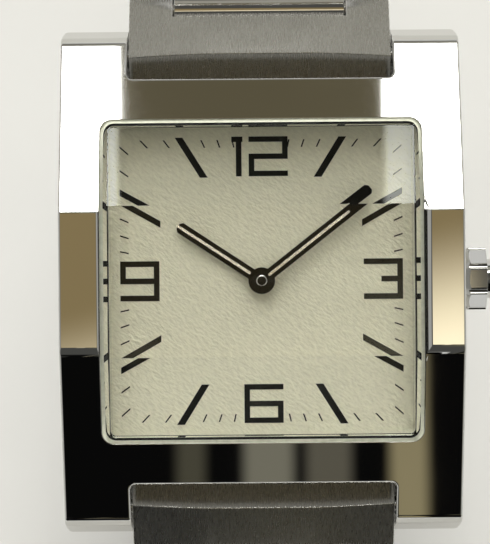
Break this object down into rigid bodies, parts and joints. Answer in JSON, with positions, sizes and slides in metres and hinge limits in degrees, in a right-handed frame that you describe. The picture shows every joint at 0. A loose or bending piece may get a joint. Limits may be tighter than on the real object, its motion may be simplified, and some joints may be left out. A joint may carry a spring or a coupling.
{
  "type": "square wristwatch",
  "caption": "Square steel wristwatch with a three-facet case and crystal, cream dial with block numerals, link bracelet and folding push-button clasp, closed and standing on its clasp.",
  "frame": {"origin": "centre of the head in plan, on the flat of the clasp cover that the closed watch stands on", "axes": "+Z through the dial and away from the wrist, +Y towards 12 o'clock, +X towards the winding knob at 3 o'clock"},
  "size_m": [0.0328, 0.0634, 0.049],
  "materials": {
    "polished_steel": "mirror polished",
    "brushed_steel": "brushed along the bracelet",
    "link_polish": "polished",
    "crystal": "clear, polished facets",
    "dial_cream": "fine-grained cream lacquer",
    "black_print": "raised black print",
    "hand_black": "black lacquer with a silver centre line",
    "brass": "brushed",
    "gear_brass": "polished",
    "dark_plastic": "moulded",
    "seal_black": "matt",
    "seal_clear": "translucent pale green",
    "board_green": "solder mask",
    "coil_copper": "enamelled copper wire",
    "soft_iron": "plain",
    "inner_steel": "plain"
  },
  "bodies": {
    "head": {"case_body": "polished_steel", "case_back": "inner_steel", "back_screws": "inner_steel", "back_gasket": "seal_black", "crystal": "crystal", "crystal_gasket": "seal_clear", "dial": "dial_cream", "dial_markers": "black_print", "movement_holder": "dark_plastic", "mainplate": "brass", "train_bridge": "brass", "bridge_screws": "inner_steel", "battery": "inner_steel", "battery_clamp": "inner_steel", "circuit_board": "board_green", "coil": "coil_copper", "stator": "soft_iron", "crown_tube": "inner_steel", "spring_bars": "inner_steel"},
    "crown_drive": {"sliding_pinion": "inner_steel"},
    "crown": {"crown": "polished_steel", "stem": "inner_steel", "crown_gasket": "seal_black"},
    "minute_works": {"center_wheel": "gear_brass", "cannon_pinion": "inner_steel", "minute_hand": "hand_black"},
    "hour_works": {"hour_wheel": "inner_steel", "hour_hand": "hand_black"},
    "minute_wheel": {"minute_wheel": "gear_brass"},
    "intermediate_wheel": {"intermediate_wheel": "gear_brass"},
    "rotor": {"rotor": "soft_iron"},
    "end_link_12": {"end_link_12": "brushed_steel"},
    "end_link_6": {"end_link_6": "brushed_steel"},
    "clasp_inner_blade": {"clasp_inner_blade": "inner_steel"},
    "clasp_outer_blade": {"clasp_outer_blade": "inner_steel"},
    "clasp_cover": {"clasp_cover": "brushed_steel"},
    "clasp_button_left": {"clasp_button_left": "polished_steel"},
    "clasp_button_right": {"clasp_button_right": "polished_steel"},
    "link_12_1": {"link_12_1_outer": "brushed_steel", "link_12_1_centre": "link_polish"},
    "link_12_2": {"link_12_2_outer": "brushed_steel", "link_12_2_centre": "link_polish"},
    "link_12_3": {"link_12_3_outer": "brushed_steel", "link_12_3_centre": "link_polish"},
    "link_12_4": {"link_12_4_outer": "brushed_steel", "link_12_4_centre": "link_polish"},
    "link_12_5": {"link_12_5_outer": "brushed_steel", "link_12_5_centre": "link_polish"},
    "link_6_1": {"link_6_1_outer": "brushed_steel", "link_6_1_centre": "link_polish"},
    "link_6_2": {"link_6_2_outer": "brushed_steel", "link_6_2_centre": "link_polish"},
    "link_6_3": {"link_6_3_outer": "brushed_steel", "link_6_3_centre": "link_polish"},
    "link_6_4": {"link_6_4_outer": "brushed_steel", "link_6_4_centre": "link_polish"},
    "link_6_5": {"link_6_5_outer": "brushed_steel", "link_6_5_centre": "link_polish"}
  },
  "joints": [
    {"name": "lug_hinge_12", "type": "hinge", "parent": "head", "child": "end_link_12", "pos_m": [0, 0.0171, 0.04307], "axis": [1, 0, 0], "range_deg": [0, 35]},
    {"name": "link_hinge_12_1", "type": "hinge", "parent": "end_link_12", "child": "link_12_1", "pos_m": [0, 0.02072, 0.04114], "axis": [1, 0, 0], "range_deg": [0, 25.5]},
    {"name": "link_hinge_12_2", "type": "hinge", "parent": "link_12_1", "child": "link_12_2", "pos_m": [0, 0.02668, 0.0344], "axis": [1, 0, 0], "range_deg": [0, 25.5]},
    {"name": "link_hinge_12_3", "type": "hinge", "parent": "link_12_2", "child": "link_12_3", "pos_m": [0, 0.02991, 0.026], "axis": [1, 0, 0], "range_deg": [0, 25.5]},
    {"name": "link_hinge_12_4", "type": "hinge", "parent": "link_12_3", "child": "link_12_4", "pos_m": [0, 0.02999, 0.017], "axis": [1, 0, 0], "range_deg": [0, 25.5]},
    {"name": "link_hinge_12_5", "type": "hinge", "parent": "link_12_4", "child": "link_12_5", "pos_m": [0, 0.02691, 0.00854], "axis": [1, 0, 0], "range_deg": [0, 25.5]},
    {"name": "lug_hinge_6", "type": "hinge", "parent": "head", "child": "end_link_6", "pos_m": [0, -0.0171, 0.04307], "axis": [-1, 0, 0], "range_deg": [0, 35]},
    {"name": "link_hinge_6_1", "type": "hinge", "parent": "end_link_6", "child": "link_6_1", "pos_m": [0, -0.02072, 0.04114], "axis": [-1, 0, 0], "range_deg": [0, 25.5]},
    {"name": "link_hinge_6_2", "type": "hinge", "parent": "link_6_1", "child": "link_6_2", "pos_m": [0, -0.02668, 0.0344], "axis": [-1, 0, 0], "range_deg": [0, 25.5]},
    {"name": "link_hinge_6_3", "type": "hinge", "parent": "link_6_2", "child": "link_6_3", "pos_m": [0, -0.02991, 0.026], "axis": [-1, 0, 0], "range_deg": [0, 25.5]},
    {"name": "link_hinge_6_4", "type": "hinge", "parent": "link_6_3", "child": "link_6_4", "pos_m": [0, -0.02999, 0.017], "axis": [-1, 0, 0], "range_deg": [0, 25.5]},
    {"name": "link_hinge_6_5", "type": "hinge", "parent": "link_6_4", "child": "link_6_5", "pos_m": [0, -0.02691, 0.00854], "axis": [-1, 0, 0], "range_deg": [0, 25.5]},
    {"name": "clasp_hinge", "type": "hinge", "parent": "link_12_5", "child": "clasp_inner_blade", "pos_m": [0, 0.02106, 0.0017], "axis": [1, 0, 0], "range_deg": [0, 55]},
    {"name": "clasp_fold", "type": "hinge", "parent": "clasp_inner_blade", "child": "clasp_outer_blade", "pos_m": [0, -0.01616, 0.00185], "axis": [-1, 0, 0], "range_deg": [0, 150]},
    {"name": "cover_fold", "type": "hinge", "parent": "clasp_outer_blade", "child": "clasp_cover", "pos_m": [0, 0.01466, 0.001], "axis": [1, 0, 0], "range_deg": [0, 150]},
    {"name": "button_left_slide", "type": "slide", "parent": "clasp_cover", "child": "clasp_button_left", "axis": [1, 0, 0], "range_m": [0, 0.0007], "stiffness_N_per_m": 300},
    {"name": "button_right_slide", "type": "slide", "parent": "clasp_cover", "child": "clasp_button_right", "axis": [-1, 0, 0], "range_m": [0, 0.0007], "stiffness_N_per_m": 300},
    {"name": "crown_turn", "type": "hinge", "parent": "head", "child": "crown_drive", "pos_m": [0.0075, 0, 0.04262], "axis": [1, 0, 0], "continuous": true},
    {"name": "crown_pull", "type": "slide", "parent": "crown_drive", "child": "crown", "axis": [1, 0, 0], "range_m": [0, 0.001]},
    {"name": "minute_turn", "type": "hinge", "parent": "head", "child": "minute_works", "pos_m": [0, 0, 0.04477], "axis": [0, 0, -1], "continuous": true},
    {"name": "hour_turn", "type": "hinge", "parent": "head", "child": "hour_works", "pos_m": [0, 0, 0.04417], "axis": [0, 0, -1], "continuous": true},
    {"name": "minute_wheel_turn", "type": "hinge", "parent": "head", "child": "minute_wheel", "pos_m": [0.0024, 0, 0.04267], "axis": [0, 0, -1], "continuous": true},
    {"name": "intermediate_turn", "type": "hinge", "parent": "head", "child": "intermediate_wheel", "pos_m": [-0.00105, 0.00289, 0.04177], "axis": [0, 0, -1], "continuous": true},
    {"name": "rotor_turn", "type": "hinge", "parent": "head", "child": "rotor", "pos_m": [-0.00368, 0.00385, 0.04177], "axis": [0, 0, -1], "continuous": true}
  ],
  "couplings": [
    {"joint": "hour_turn", "follows": "minute_turn", "ratio": 0.083333},
    {"joint": "minute_wheel_turn", "follows": "minute_turn", "ratio": -0.33333},
    {"joint": "intermediate_turn", "follows": "minute_turn", "ratio": -10},
    {"joint": "rotor_turn", "follows": "minute_turn", "ratio": 90},
    {"joint": "cover_fold", "follows": "clasp_fold", "ratio": 1}
  ]
}
